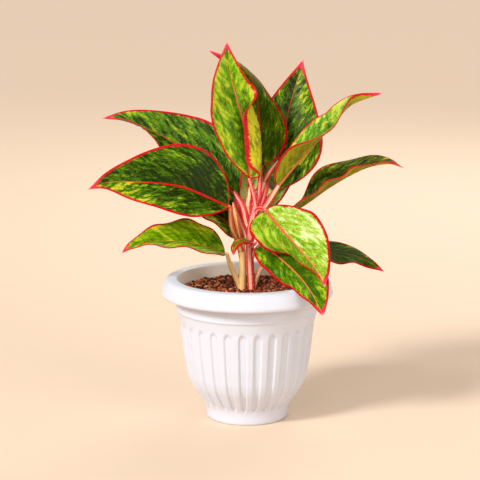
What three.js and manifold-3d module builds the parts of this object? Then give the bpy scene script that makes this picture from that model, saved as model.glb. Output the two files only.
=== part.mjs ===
// A potted chinese evergreen: broad leaves with crimson margins on two short shoots,
// in a white fluted plastic pot filled with dark soil.
// Millimetres, +Z up, origin at the centre of the pot's underside, front of the plant toward -Y.
import * as THREE from "three";
import Module from "manifold-3d";

const solids = await Module();
solids.setup();

// ---- driving sizes ----
const POT_HEIGHT = 126.5;
const RIM_RADIUS = 76;
const FOOT_RADIUS = 36.4;
const WALL = 2.4;
const FLOOR = 3;
const FLUTES = 28;
const FLUTE_TURN = -93.9; // degrees, where one flute's middle lies, seen from above
const FLUTE_SHARE = 0.3; // half of a flute's width as a share of the pitch
const FLUTE_DEPTH = 1.1;
const GAP = 0.3; // clearance between pieces that touch
const SOIL_TOP = 114;
const SOIL_LUMP = 1.2;
const SHOOT_DEPTH = 25; // how far a shoot goes into the soil
const SEAT_GAP = 0.35; // from a petiole's end to its blade
const SEAT_REACH = 2.5; // the end of a petiole that runs in line with the midrib
const BLADE_THICK = 0.9;
const RIB_THICK = 0.9; // what the midrib adds
const BASE_HALF = 1.1; // half width of a blade at its petiole
const TIP_HALF = 0.4;
const LOBE_START = 0.02; // share of the rib over which the base turns back
const STEPS_ALONG = 12;
const STEPS_ACROSS = 3;

// ---- small helpers ----
let seed = 7;
function random() {
  seed = (seed * 16807) % 2147483647;
  return seed / 2147483647;
}
const vec = (p) => new THREE.Vector3(p[0], p[1], p[2]);
const rad = (degrees) => (degrees * Math.PI) / 180;

function smooth(x) {
  const t = Math.min(1, Math.max(0, x));
  return t * t * (3 - 2 * t);
}

// A value between evenly spaced rows, on a curve through all of them.
function ramp(rows, u) {
  const last = rows.length - 1;
  const x = u * last;
  const i = Math.min(last - 1, Math.max(0, Math.floor(x)));
  const t = x - i;
  return rows[0].map((_, k) => {
    const b = rows[i][k];
    const c = rows[i + 1][k];
    const a = i > 0 ? rows[i - 1][k] : 2 * b - c;
    const d = i + 2 <= last ? rows[i + 2][k] : 2 * c - b;
    const t2 = t * t;
    return 0.5 * (2 * b + (c - a) * t + (2 * a - 5 * b + 4 * c - d) * t2
      + (3 * b - a - 3 * c + d) * t2 * t);
  });
}

function curve(points) {
  return new THREE.CatmullRomCurve3(points.map(vec), false, "catmullrom", 0.5);
}

function meshOf(name, vertices, triangles, colour) {
  const shape = new THREE.BufferGeometry();
  shape.setAttribute("position", new THREE.Float32BufferAttribute(vertices, 3));
  shape.setIndex(triangles);
  shape.computeVertexNormals();
  const skin = new THREE.MeshStandardMaterial({ color: colour, roughness: 0.5, flatShading: true });
  const mesh = new THREE.Mesh(shape, skin);
  mesh.name = name;
  return mesh;
}

function solidOf(vertices, triangles) {
  return new solids.Manifold(new solids.Mesh({
    numProp: 3,
    vertProperties: new Float32Array(vertices),
    triVerts: new Uint32Array(triangles),
  }));
}

function meshOfSolid(name, solid, colour) {
  const m = solid.getMesh();
  return meshOf(name, Array.from(m.vertProperties), Array.from(m.triVerts), colour);
}

// A turned solid: rows of [radius, z], the first and last on the axis, with a cut-in per row and column.
function turned(rows, columns, turn, place) {
  const vertices = [];
  const triangles = [];
  const first = rows[0];
  const last = rows[rows.length - 1];
  const rings = rows.slice(1, -1);
  vertices.push(0, 0, first[1]);
  rings.forEach((row, i) => {
    for (let k = 0; k < columns; k++) {
      const angle = turn[k];
      const [r, z] = place(row, i, k, angle);
      vertices.push(r * Math.cos(angle), r * Math.sin(angle), z);
    }
  });
  vertices.push(0, 0, last[1]);
  const at = (i, k) => 1 + i * columns + (k % columns);
  for (let k = 0; k < columns; k++) {
    triangles.push(0, at(0, k + 1), at(0, k));
    for (let i = 0; i + 1 < rings.length; i++) {
      triangles.push(at(i, k), at(i, k + 1), at(i + 1, k));
      triangles.push(at(i, k + 1), at(i + 1, k + 1), at(i + 1, k));
    }
    triangles.push(at(rings.length - 1, k), at(rings.length - 1, k + 1), vertices.length / 3 - 1);
  }
  return { vertices, triangles };
}

// A closed tube along a curve, with a radius at each end and one in the middle.
function tube(points, radii, sides = 7, steps = 7) {
  const path = curve(points);
  const frames = path.computeFrenetFrames(steps, false);
  const vertices = [];
  const triangles = [];
  for (let i = 0; i <= steps; i++) {
    const u = i / steps;
    const centre = path.getPointAt(u);
    const r = ramp(radii.map((v) => [v]), u)[0];
    for (let k = 0; k < sides; k++) {
      const a = (2 * Math.PI * k) / sides;
      const p = centre.clone()
        .addScaledVector(frames.normals[i], r * Math.cos(a))
        .addScaledVector(frames.binormals[i], r * Math.sin(a));
      vertices.push(p.x, p.y, p.z);
    }
  }
  const start = path.getPointAt(0);
  const end = path.getPointAt(1);
  vertices.push(start.x, start.y, start.z, end.x, end.y, end.z);
  const cap = (steps + 1) * sides;
  const at = (i, k) => i * sides + (k % sides);
  for (let k = 0; k < sides; k++) {
    triangles.push(cap, at(0, k + 1), at(0, k));
    triangles.push(cap + 1, at(steps, k), at(steps, k + 1));
    for (let i = 0; i < steps; i++) {
      triangles.push(at(i, k), at(i, k + 1), at(i + 1, k));
      triangles.push(at(i, k + 1), at(i + 1, k + 1), at(i + 1, k));
    }
  }
  return solidOf(vertices, triangles);
}

// ---- the leaves ----
// rib: the midrib from petiole to tip.  face: where the upper side looks, along the rib.
// width: half widths left and right of the rib, seen from above with the tip ahead.
// ends: how each half fills out toward the base and narrows to the tip.
// left, right: degrees each half is raised off the blade's own plane, at the rib and at the margin.
// wave: height, number and start of the waves in each margin.  lobe: how far the base reaches back.
// bend: where across a half its two angles meet, and over what share.
const LEAVES = [
  {
    name: "leaf_left_upper",
    rib: [[-9, 16, 194], [-34, 28, 224], [-62, 33, 240], [-88, 29, 254], [-109, 22, 263], [-128, 16, 266]],
    face: [[0.3, -0.8, 0.5], [0.1, -0.75, 0.65], [0.1, -0.6, 0.8]],
    width: [25, 30.5],
    ends: [[0.38, 1.2], [0.7, 1.17]],
    lobe: [12, 0],
    left: [[10, 10], [5, 0], [0, -10], [0, -12], [32, 28], [58, 58], [56, 56]],
    right: [[66, 70], [36, 30], [25, 10], [22, 4], [20, 0]],
    wave: [[1, 2, 0.1], [1, 2.5, 0.1]],
  },
  {
    name: "leaf_left_broad",
    rib: [[-17, -4, 190], [-38, -11, 201], [-55, -16, 209], [-74, -19, 213], [-97, -22, 215],
      [-120, -24, 215], [-138, -25, 209]],
    face: [[0.1, -0.75, 0.66], [0, -0.75, 0.66], [0, -0.75, 0.66]],
    width: [32, 37],
    ends: [[0.82, 1.32], [0.72, 1.4]],
    left: [[34, 34], [18, 14], [16, 10], [14, 8], [28, 26]],
    right: [[26, 26], [26, 20], [26, 26]],
    wave: [[1.2, 2, 0.1], [0.8, 2.3, 0.4]],
  },
  {
    name: "leaf_left_lower",
    rib: [
      [-20, -2, 148], [-41, -10, 157], [-63, -14, 161], [-85, -16, 161], [-99, -16, 158], [-110, -15, 151],
    ],
    face: [[0, -0.5, 0.87], [0, -0.5, 0.87]],
    width: [18, 22.5],
    ends: [[0.6, 1.1], [0.6, 1.15]],
    left: [[26, 10], [26, 20], [29, 20], [29, 20], [25, 20]],
    right: [[21, 21], [21, 21]],
    wave: [[2, 3.2, 0.95], [1.9, 3.4, 0.89]],
  },
  {
    name: "leaf_left_inner",
    rib: [[-10, 3, 161], [-15, 6, 171], [-30, 13, 181], [-46, 18, 184], [-71, 22, 185]],
    face: [[0, -0.5, 0.87], [0, -0.5, 0.87]],
    width: [12.5, 14],
    ends: [[0.6, 1.15], [0.9, 1.15]],
    left: [[20, 10], [20, 10]],
    right: [[20, 20], [20, 20]],
    wave: [[1.5, 3, 0.4], [1, 2, 0.4]],
  },
  {
    name: "leaf_top_folded",
    rib: [[2, 1, 215], [-1, -1, 238], [-3, -3, 261], [-9, -5, 284], [-14, -7, 304], [-18, -6, 335]],
    face: [[0, -1, 0.1], [0, -1, 0.1]],
    width: [28, 29],
    ends: [[1.05, 1.2], [0.4, 1.15]],
    left: [[34, 20], [34, 20], [30, 20], [34, 30], [34, 30]],
    right: [[5, 60], [5, 165], [5, 168], [5, 165], [8, 130], [25, 15], [30, 25], [30, 25], [30, 25]],
    wave: [[0.6, 2, 0], [0.5, 3, 0]],
    bend: [0.48, 0.12],
    steps: [16, 5],
  },
  {
    name: "leaf_top_rear",
    rib: [[12, 6, 225], [11, 12, 256], [8, 18, 287], [2, 20, 303], [-10, 21, 314], [-34, 20, 325]],
    face: [[0, -1, 0.1], [0, -1, 0.1]],
    width: [15, 29],
    ends: [[0.6, 1.15], [0.6, 1]],
    left: [[10, 0], [10, 0]],
    right: [[-10, -10], [-20, -25], [-35, -45], [-62, -70], [-82, -85], [-82, -85], [-80, -80]],
    wave: [[0.8, 2, 0.3], [0.5, 2, 0.3]],
  },
  {
    name: "leaf_top_right",
    rib: [[24, 26, 200], [28, 37, 226], [33, 45, 253], [40, 50, 280], [50, 55, 314]],
    face: [[0, -1, 0.2], [0, -1, 0.2]],
    width: [26, 37],
    ends: [[0.6, 1.15], [0.75, 1.35]],
    left: [[20, 10], [20, 10]],
    right: [[20, 5], [20, 5]],
    wave: [[1, 2, 0.3], [1, 2, 0.3]],
  },
  {
    name: "leaf_right_arched",
    rib: [[28, -2, 209], [41, -5, 226], [51, -8, 238], [64, -12, 253], [75, -15, 264], [82, -17, 275],
      [93, -18, 284], [116, -18, 292]],
    face: [[-0.76, -0.15, 0.65], [-0.76, -0.15, 0.65]],
    width: [16, 18],
    ends: [[0.6, 1.1], [0.5, 1.1]],
    left: [[60, 50], [60, 50]],
    right: [[66, 72], [66, 72], [58, 62], [32, 30], [16, 14], [20, 20], [80, 80], [85, 85]],
    wave: [[0.8, 2, 0.3], [0.8, 2, 0.6]],
  },
  {
    name: "leaf_right_long",
    rib: [
      [28, 8, 182], [47, 10, 188], [71, 13, 204], [91, 13, 216], [108, 10, 224], [125, 7, 227], [137, 4, 224],
    ],
    face: [[-0.35, 0, 0.93], [-0.35, 0, 0.93], [0.1, 0, 1]],
    width: [21, 20],
    ends: [[2, 1.5], [0.6, 1.15]],
    left: [[55, 48], [58, 52], [50, 44], [28, 20], [30, 24]],
    right: [[24, 20], [24, 20]],
    wave: [[2.6, 2.3, 0.35], [1.8, 4.2, 0.486]],
  },
  {
    name: "leaf_front_broad",
    rib: [[16, -12, 188], [32, -40, 174], [48, -62, 160], [59, -76, 148], [65, -83, 136]],
    face: [[0.2, -0.9, 0.4], [0.2, -0.9, 0.4]],
    width: [31, 23],
    ends: [[0.6, 1], [0.35, 1.35]],
    lobe: [4, 3],
    left: [[10, 0], [10, 0]],
    right: [
      [-15, -25], [-10, -20], [0, -30], [-58, -88], [-68, -92], [-56, -84], [-56, -84], [-54, -76],
      [-44, -64],
    ],
    wave: [[1.2, 3, 0.3], [0.8, 2, 0.3]],
  },
  {
    name: "leaf_front_low",
    rib: [[13, -6, 156], [27, -27.5, 150], [43, -53, 140], [55, -69.5, 127], [64, -76, 109.5]],
    face: [[0.1, -0.9, 0.4], [0.1, -0.9, 0.4]],
    width: [28, 16],
    ends: [[0.6, 0.9], [0.45, 0.95]],
    lobe: [2, 4],
    left: [[10, 0], [10, 0]],
    right: [[10, 0], [10, 0], [5, -10], [-10, -50], [-20, -50], [-15, -40], [-10, -30]],
    wave: [[1.2, 2, 0.1], [1.8, 3.5, 0.1]],
  },
  {
    name: "leaf_right_low",
    rib: [[45, 8, 150], [61, 12, 148], [78, 15, 146], [94, 16, 143], [108, 14, 137], [122, 11, 129]],
    face: [[0, -0.31, 0.95], [0, -0.31, 0.95]],
    width: [18, 19],
    ends: [[0.6, 1.15], [0.6, 1.15]],
    left: [[0, 0], [0, 0]],
    right: [[0, 0], [0, 0]],
    wave: [[1, 2, 0.3], [1.5, 2.5, 0.6]],
  },
  {
    name: "leaf_small",
    rib: [[5, -9, 159], [-4, -14, 161], [-10, -19, 157], [-12, -24, 151]],
    face: [[0, -0.5, 0.85], [0, -0.5, 0.85]],
    width: [2.6, 4.8],
    ends: [[0.6, 1.1], [0.9, 0.9]],
    left: [[20, 0], [20, 0]],
    right: [[10, 0], [10, 0]],
    wave: [[0.6, 2, 0.3], [0.6, 2, 0.3]],
  },
  {
    name: "leaf_rear_left",
    rib: [[1, 16, 190], [1, 30, 208], [0, 50, 232], [-3, 72, 262]],
    face: [[0, -0.9, 0.5], [0, -0.9, 0.5]],
    width: [10, 14],
    ends: [[0.35, 1.2], [1.1, 1.2]],
    left: [[20, 10], [20, 10]],
    right: [[20, 10], [20, 10]],
    wave: [[1, 2, 0.1], [1, 2, 0.6]],
  },
  {
    name: "leaf_rear_right",
    rib: [[17, 13, 181], [25, 28, 195], [33, 48, 214], [40, 76, 244]],
    face: [[0, -0.8, 0.6], [0, -0.8, 0.6]],
    width: [9, 10],
    ends: [[0.6, 1.2], [1.1, 1.2]],
    left: [[20, 10], [20, 10]],
    right: [[20, 10], [20, 10]],
    wave: [[1, 2, 0.1], [1, 2, 0.6]],
  },
];

// One half blade's outline over the length.
function fill(u, [base, tip]) {
  const widest = base / (base + tip);
  return (Math.max(u, 1e-6) / widest) ** base * ((1 - u) / (1 - widest)) ** tip;
}

// The middle surface of a blade as a grid of points: along the rib, then from left to right margin.
function surfaceOf(leaf, along, across) {
  const path = curve(leaf.rib);
  const [bendAt, bendOver] = leaf.bend || [0.5, 0.35];
  const lobes = leaf.lobe || [0, 0];
  const grid = [];
  for (let i = 0; i <= along; i++) {
    const u = i / along;
    const centre = path.getPointAt(u);
    const ahead = path.getTangentAt(u).normalize();
    const up = vec(ramp(leaf.face, u));
    up.addScaledVector(ahead, -up.dot(ahead)).normalize();
    const out = new THREE.Vector3().crossVectors(ahead, up);
    const row = [];
    [-1, 1].forEach((side, k) => {
      const [inner, outer] = ramp(side < 0 ? leaf.left : leaf.right, u).map(rad);
      const half = fill(u, leaf.ends[k]) * leaf.width[k] + BASE_HALF * (1 - u) + TIP_HALF * u;
      const [height, count, start] = leaf.wave[k];
      const wave = height * Math.sin(2 * Math.PI * (count * u + start)) * Math.sin(Math.PI * u) ** 0.7;
      const back = lobes[k] * (1 - u) ** 6 * Math.min(1, u / LOBE_START);
      const fine = 24; // small steps within each step across
      const total = across * fine;
      const offset = new THREE.Vector3();
      const points = [];
      for (let n = 1; n <= total; n++) {
        const s = (n - 0.5) / total;
        const angle = inner + (outer - inner) * smooth((s - bendAt + bendOver) / (2 * bendOver));
        offset.addScaledVector(out, (side * Math.cos(angle) * half) / total);
        offset.addScaledVector(up, (Math.sin(angle) * half) / total);
        if (n % fine === 0) {
          const share = n / total;
          points.push(centre.clone().add(offset)
            .addScaledVector(up, wave * share * share)
            .addScaledVector(ahead, -back * share));
        }
      }
      if (side < 0) row.push(...points.reverse(), centre);
      else row.push(...points);
    });
    grid.push(row);
  }
  return grid;
}

// A blade: the surface thickened to both sides, thicker along the midrib.
function blade(leaf) {
  const [along, across] = leaf.steps || [STEPS_ALONG, STEPS_ACROSS];
  const grid = surfaceOf(leaf, along, across);
  const wide = 2 * across;
  const count = wide + 1;
  const vertices = [];
  [1, -1].forEach((face) => {
    grid.forEach((row, i) => {
      row.forEach((p, j) => {
        const before = grid[Math.max(0, i - 1)][j];
        const after = grid[Math.min(along, i + 1)][j];
        const leftward = row[Math.max(0, j - 1)];
        const rightward = row[Math.min(wide, j + 1)];
        const normal = new THREE.Vector3().subVectors(rightward, leftward)
          .cross(new THREE.Vector3().subVectors(after, before)).normalize();
        const fromRib = Math.abs(j - across) / across;
        const rib = RIB_THICK * Math.max(0, 1 - fromRib * 3) * (1 - i / along);
        const q = p.clone().addScaledVector(normal, (face * (BLADE_THICK + rib)) / 2);
        vertices.push(q.x, q.y, q.z);
      });
    });
  });
  const far = (along + 1) * count;
  const at = (i, j) => i * count + j;
  const triangles = [];
  const quad = (a, b, c, d) => triangles.push(a, b, c, a, c, d);
  for (let i = 0; i < along; i++) {
    for (let j = 0; j < wide; j++) {
      const [a, b, c, d] = [at(i, j), at(i, j + 1), at(i + 1, j + 1), at(i + 1, j)];
      quad(a, b, c, d);
      triangles.push(far + a, far + c, far + b, far + a, far + d, far + c);
    }
    quad(at(i, 0), at(i + 1, 0), far + at(i + 1, 0), far + at(i, 0));
    quad(at(i + 1, wide), at(i, wide), far + at(i, wide), far + at(i + 1, wide));
  }
  for (let j = 0; j < wide; j++) {
    quad(at(0, j + 1), at(0, j), far + at(0, j), far + at(0, j + 1));
    quad(at(along, j), at(along, j + 1), far + at(along, j + 1), far + at(along, j));
  }
  return meshOf(leaf.name, vertices, triangles, 0x4f8a2c);
}

// ---- the pot ----
const wallRows = [
  [FOOT_RADIUS - 0.4, 0], [FOOT_RADIUS + 1.2, 12], [38.8, 14.5], [42.5, 19], [50.3, 32], [55.3, 50],
  [57.8, 69], [59.2, 82], [59.8, 87], [62.2, 97.6], [63.2, 98.6],
];
const rimRows = [
  [64.6, 119], [66.6, 122.6], [70.2, 121], [71.8, 116], [71.8, 111.9], [73.4, 110.7], [75.3, 111.6],
  [RIM_RADIUS, 113.4], [74.4, 119.5], [72.6, 124.4], [69.8, POT_HEIGHT], [64.5, POT_HEIGHT], [62.2, 125],
];

// The wall's outer radius at a height.
function wallRadius(z) {
  const i = Math.max(1, wallRows.findIndex(([, level]) => level >= z));
  const [[r0, z0], [r1, z1]] = [wallRows[i - 1], wallRows[i]];
  return r0 + ((r1 - r0) * (z - z0)) / (z1 - z0);
}

const innerRows = [98, 84, 50, 32, 19, 11, FLOOR].map((z) => [wallRadius(z) - WALL, z]);

function fluteCut(z) {
  return smooth((z - 14) / 5) * smooth((87 - z) / 5);
}

function potColumns() {
  const turn = [];
  for (let f = 0; f < FLUTES; f++) {
    [-FLUTE_SHARE, 0, FLUTE_SHARE].forEach((share) => {
      turn.push(rad(FLUTE_TURN) + (2 * Math.PI * (f + share)) / FLUTES);
    });
  }
  return turn;
}

function pot() {
  const rows = [[0, 0], ...wallRows, ...rimRows, ...innerRows, [0, FLOOR]];
  const turn = potColumns();
  const body = turned(rows, turn.length, turn, ([r, z], i, k) => {
    const inWall = i < wallRows.length && k % 3 === 1;
    return [r - (inWall ? FLUTE_DEPTH * fluteCut(z) : 0), z];
  });
  return meshOf("pot", body.vertices, body.triangles, 0xf3f1ee);
}

// ---- the soil ----
const SHOOT_LEFT = [-4.5, 0.5];
const SHOOT_RIGHT = [4, 0.5];
const SHOOT_RADIUS = 3.6;

function soil() {
  const columns = 40;
  const turn = [];
  for (let k = 0; k < columns; k++) turn.push((2 * Math.PI * k) / columns);
  const sides = [...innerRows].reverse().map(([r, z]) => [r - GAP, z === FLOOR ? z + GAP : z + GAP / 2])
    .filter(([, z]) => z < SOIL_TOP - 5);
  const top = [[60.7, SOIL_TOP - 2.5], [57, SOIL_TOP], [48, SOIL_TOP], [38, SOIL_TOP],
    [28, SOIL_TOP], [19, SOIL_TOP], [12, SOIL_TOP]];
  const body = turned([[0, FLOOR + GAP], ...sides, ...top, [0, SOIL_TOP]], columns, turn, ([r, z], i) => {
    if (i <= sides.length) return [r, z];
    return [r + 2.5 * (random() - 0.5), z + 2 * SOIL_LUMP * (random() - 0.5)];
  });
  let made = solidOf(body.vertices, body.triangles);
  for (const [x, y] of [SHOOT_LEFT, SHOOT_RIGHT]) {
    const hole = solids.Manifold.cylinder(60, SHOOT_RADIUS + GAP, SHOOT_RADIUS + GAP, 16)
      .translate([x, y, SOIL_TOP - SHOOT_DEPTH - GAP]);
    made = made.subtract(hole);
  }
  return meshOfSolid("soil", made, 0x3a241a);
}

// ---- the shoots with their petioles ----
// Where a petiole stops: just short of its blade, on the line of the midrib.
function seat(name) {
  const leaf = LEAVES.find((one) => one.name === name);
  const path = curve(leaf.rib);
  const end = path.getPointAt(0).addScaledVector(path.getTangentAt(0), -SEAT_GAP);
  const before = path.getPointAt(0).addScaledVector(path.getTangentAt(0), -SEAT_REACH);
  return [before.toArray(), end.toArray()];
}

function root([x, y]) {
  return [[x, y, SOIL_TOP - SHOOT_DEPTH], [x, y, SOIL_TOP - 2]];
}

// Each stalk's path, its radii along it and the leaf that it carries. The first of a shoot is its stem,
// and the others without a leaf are sheaths.
const LEFT_PARTS = [
  { path: [...root(SHOOT_LEFT), [-4, 0, 133], [-4.5, 0, 151], [-6, -1, 162]], radii: [3.4, 3.2, 3, 2.8] },
  { path: [[-4.8, 0.5, 110], [-6.3, 1, 117], [-12.3, 0, 131], [-16, 0, 140]],
    radii: [2.2, 2.1, 2], to: "leaf_left_lower" },
  { path: [[-5, 0, 150], [-8.5, -1.5, 161], [-13.5, -3.5, 173]],
    radii: [2.8, 2.3, 1.8], to: "leaf_left_broad" },
  { path: [[-4.5, 0, 144], [-6.5, 1, 151]], radii: [2.4, 1.8, 1.5], to: "leaf_left_inner" },
  { path: [[-5, 0, 154], [-6.6, -1.5, 164], [-8.6, -2.8, 174], [-10.5, -2.8, 184], [-12.6, -2, 194]],
    radii: [2.4, 2.4, 2.5, 2.4, 0.6] },
];
const RIGHT_PARTS = [
  { path: [...root(SHOOT_RIGHT), [3, 0, 134], [2.5, 0, 150], [3, 0, 166], [5, 0, 179], [8, 0, 190]],
    radii: [3.4, 3.2, 3.1, 3.6, 3.4] },
  { path: [[2, 1, 164], [0, 4, 175], [-4, 9, 184]], radii: [2.8, 2.6, 2.1], to: "leaf_left_upper" },
  { path: [[1, 0, 156], [-1.5, 0.5, 165], [-5, 1, 174], [-8, 1, 183]], radii: [2.4, 2.3, 0.6] },
  { path: [[0, 3, 172], [-5, 5, 182], [-8.5, 6, 190], [-11.5, 7, 198]], radii: [2, 2.8, 2.8, 1.2] },
  { path: [[2, 0.5, 168], [-1, 1, 178], [-2.6, 1.5, 186], [-4.8, 2, 192], [-9, 3, 198.5], [-12, 4, 203]],
    radii: [2, 2.7, 2.7, 2.5, 1.9, 1] },
  { path: [[3.5, 2, 170], [2, 3, 180], [1, 3.5, 190], [2.2, 4, 198], [2, 4, 207]],
    radii: [2.4, 2.8, 3.1, 2.6, 0.6] },
  { path: [[9, 2, 184], [13.5, 4, 194], [17, 5.5, 205], [18.5, 6, 213]], radii: [2.2, 2, 1.6, 0.7] },
  { path: [[8, 0, 188], [6, 0, 200]], radii: [2.6, 2, 1.6], to: "leaf_top_folded" },
  { path: [[8, 1, 186], [10, 3, 198]], radii: [2.4, 2, 1.6], to: "leaf_top_rear" },
  { path: [[8, 1, 182], [13, 7, 190]], radii: [2.4, 2, 1.6], to: "leaf_top_right" },
  { path: [[8, 0, 182], [16, 0, 190]], radii: [2.4, 2.2, 1.6], to: "leaf_right_arched" },
  { path: [[6, 0, 176], [14, 4, 181]], radii: [2.4, 2, 1.6], to: "leaf_right_long" },
  { path: [[7, 0, 182], [10, -4.5, 188.5]], radii: [2.4, 2, 1.7], to: "leaf_front_broad" },
  { path: [[2.5, 0, 138], [6, -2, 149]], radii: [2, 1.8, 1.6], to: "leaf_front_low" },
  { path: [[4.2, 0.5, 110], [6, 1, 120], [12, 3, 133], [25, 6, 147]],
    radii: [1.9, 1.9, 1.9, 1.6], to: "leaf_right_low" },
  { path: [[2.5, 0, 152], [3.5, -3.5, 155]], radii: [2, 1.6, 1.2], to: "leaf_small" },
  { path: [[4, 1, 170], [2.5, 6, 179]], radii: [2.2, 1.8, 1.4], to: "leaf_rear_left" },
  { path: [[6, 1, 174], [11, 8, 182]], radii: [2.2, 1.8, 1.4], to: "leaf_rear_right" },
  { path: [[8, 2, 188], [12, 6, 202], [15, 8, 210]], radii: [2.2, 2.4, 2] },
];

function shoot(name, parts, colour) {
  const tubes = parts.map(({ path, radii, to }) => tube(to ? [...path, ...seat(to)] : path, radii));
  return meshOfSolid(name, solids.Manifold.union(tubes), colour);
}

// The youngest leaf, still rolled into a spindle above its sheath.
function rolledLeaf() {
  const path = [[15.3, 8.2, 210.8], [17, 9, 214], [20.5, 10, 220], [27, 11, 229]];
  const made = tube(path, [1.4, 2.6, 2.2, 0.5], 8, 8);
  return meshOfSolid("leaf_rolled", made, 0xe8d9a8);
}

const plant = new THREE.Group();
plant.name = "potted_chinese_evergreen";
plant.add(pot());
plant.add(soil());
plant.add(shoot("shoot_left", LEFT_PARTS, 0xd9b48a));
plant.add(shoot("shoot_right", RIGHT_PARTS, 0xd98a86));
LEAVES.forEach((leaf) => plant.add(blade(leaf)));
plant.add(rolledLeaf());

export default plant;
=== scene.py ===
"""A potted chinese evergreen: mottled leaves with crimson margins in a white fluted pot.

Shapes are worked out in millimetres in the part's own frame and turned into metres as meshes are made.
"""

import math

import bpy
import numpy as np
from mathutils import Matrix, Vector


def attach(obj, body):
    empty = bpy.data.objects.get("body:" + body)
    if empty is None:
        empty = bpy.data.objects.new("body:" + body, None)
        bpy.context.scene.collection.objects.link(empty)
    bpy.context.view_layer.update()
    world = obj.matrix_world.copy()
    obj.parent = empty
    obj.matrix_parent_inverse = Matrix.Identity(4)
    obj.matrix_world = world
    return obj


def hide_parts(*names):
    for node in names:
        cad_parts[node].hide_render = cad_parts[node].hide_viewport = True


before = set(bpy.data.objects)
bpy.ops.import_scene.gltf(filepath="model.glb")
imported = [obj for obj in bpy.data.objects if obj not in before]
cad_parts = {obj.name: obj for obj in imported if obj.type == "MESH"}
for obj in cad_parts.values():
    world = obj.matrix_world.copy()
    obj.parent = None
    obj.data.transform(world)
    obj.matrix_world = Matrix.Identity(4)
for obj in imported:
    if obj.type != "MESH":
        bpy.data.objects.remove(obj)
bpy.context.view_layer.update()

MM = 0.001
CURVE_STEPS = 60  # between two points of a curve
SEED = 11
LEAF_SEED = 5
LEAF_SEED_STEP = 13

# ---- sizes in millimetres, shares and counts ----
POT_HEIGHT = 126.5
RIM_RADIUS = 76
FOOT_RADIUS = 36.4
FLOOR = 3
FLUTES = 28
FLUTE_TURN = -93.9  # degrees
FLUTE_SHARE = 0.3  # half a flute's width, as a share of their spacing
FLUTE_SLOPE = 0.1  # the width of its sloping sides, as a share of their spacing
FLUTE_DEPTH = 1.7
FLUTE_LOW = 13.5
FLUTE_HIGH = 87
FLUTE_LOW_END = 5  # the length of its round lower end
FLUTE_HIGH_END = 4.5
FLUTE_COLUMNS = 20  # mesh columns to each flute
WALL_STEPS = 64
RIM_STEPS = 72
INNER_STEPS = 18

SOIL_TOP = 114
SOIL_RADIUS = 60.3
SOIL_MIDDLE = 0.4
SOIL_COLUMNS = 160
SOIL_RINGS = 60
SOIL_GRAIN = 0.4  # at most, by which a point of the bed lies higher or lower
# the bed between the crumbs is near the darkest tone, partly painted shade in the gaps between them
SOIL_TONE = 0.04  # 0 is the darkest soil and 1 the lightest
CRUMBS = 3600
CRUMB_REACH = 59.2
CRUMB_SMALL = 0.6
CRUMB_MORE = 2.1  # by which the biggest crumb is bigger than the smallest
CRUMB_SMALLISH = 2.6  # the higher, the more of them are small
CRUMB_DARKISH = 1.8  # and dark
CRUMB_RISE = (-0.3, 1.1)  # over the bed
CRUMB_ROUGH = 0.28
CRUMB_STRETCH = (0.6, 1.2)
FIBRES = 240
FIBRE_REACH = 55
FIBRE_RISE = (0.6, 1.6)
FIBRE_LENGTH = (3, 7)
FIBRE_THICK = (0.12, 0.25)
FIBRE_TONE = (0.6, 1)
FIBRE_CURL = 0.9  # radians at each bend
FIBRE_CLIMB = (-0.25, 0.3)
FIBRE_TAPER = 0.6
FIBRE_BENDS = 4
FIBRE_SIDES = 5
FIBRE_STEPS = 8

SHOOT_DEPTH = 25
SHOOT_NECK = 2  # below the soil's top
SHOOT_LEFT = (-4.5, 0.5)
SHOOT_RIGHT = (4, 0.5)
GAP = 0.3  # between the soil and the pot
SEAT_REACH = 2.5  # the last stretch of a petiole, in line with its leaf's midrib
SEAT_GAP = 0.05  # between a petiole's end and the start of the midrib
STALK_STEPS = 36
STALK_SIDES = 20
RIDGE_TURN = 90  # degrees, toward the front
RIDGE_APART = 0.9  # radians that each ridge stands off from RIDGE_TURN
RIDGE_FROM = 0.78  # the cosine of the angle that a ridge spans to each side
RIDGE_HEIGHT = 0.3  # as a share of the stalk's radius
RIDGE_FADE = 0.45  # how much lower the ridges are at the leaf
RIDGE_FADE_FROM = 0.1  # along the stalk, as shares of its length
RIDGE_FADE_OVER = 0.85

BLADE_THICK = 0.9
BASE_HALF = 1.1
TIP_HALF = 0.4
EDGE_ROUND = 0.5
EDGE_LEAST = 0.04  # how blunt the margin is
EDGE_CROWD = 1.25  # how much closer the mesh columns stand toward the margin
WAVE_CALM = 0.7  # how soon the margins' waves die down toward base and tip
LOBE_CALM = 6  # how soon a lobe ends past the base
LOBE_START = 0.02  # the share of the blade over which it starts
RIB_THICK = 0.9
RIB_HALF = 1.5
GROOVE_DEPTH = 0.28
GROOVE_HALF = 1.1
QUILT_CALM = (6, 4, 0.15)  # near the margin and the rib, and at the tip, where the quilting fades
ALONG = 130  # mesh rows along a blade
ACROSS = 22  # and columns across each half
PROFILE_STEPS = 240
VEIN_REACH = 0.42  # a side vein reaches this times (distance from the rib ** VEIN_SWEEP) forward
VEIN_SWEEP = 1.35

# ---- the camera, which stands where the photograph's stood ----
CAMERA_PLACE = (0, -1500, 453)  # mm
CAMERA_DOWN = 11.06  # degrees
CAMERA_LEFT = 0.247  # degrees
CAMERA_LENS = 129.8  # mm
CAMERA_SENSOR = 36  # mm
CAMERA_REACH = 50  # m

# ---- floor and light ----
FLOOR_HALF = 20000  # mm
FLOOR_COLOUR = (232, 208, 184)
SUN_FROM = (-0.62, -0.55, 0.58)
SUN_POWER = 2.7
SUN_SPREAD = 14  # degrees
ROOM_COLOUR = (1.0, 0.95, 0.88, 1)
ROOM_STRENGTH = 0.5
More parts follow.
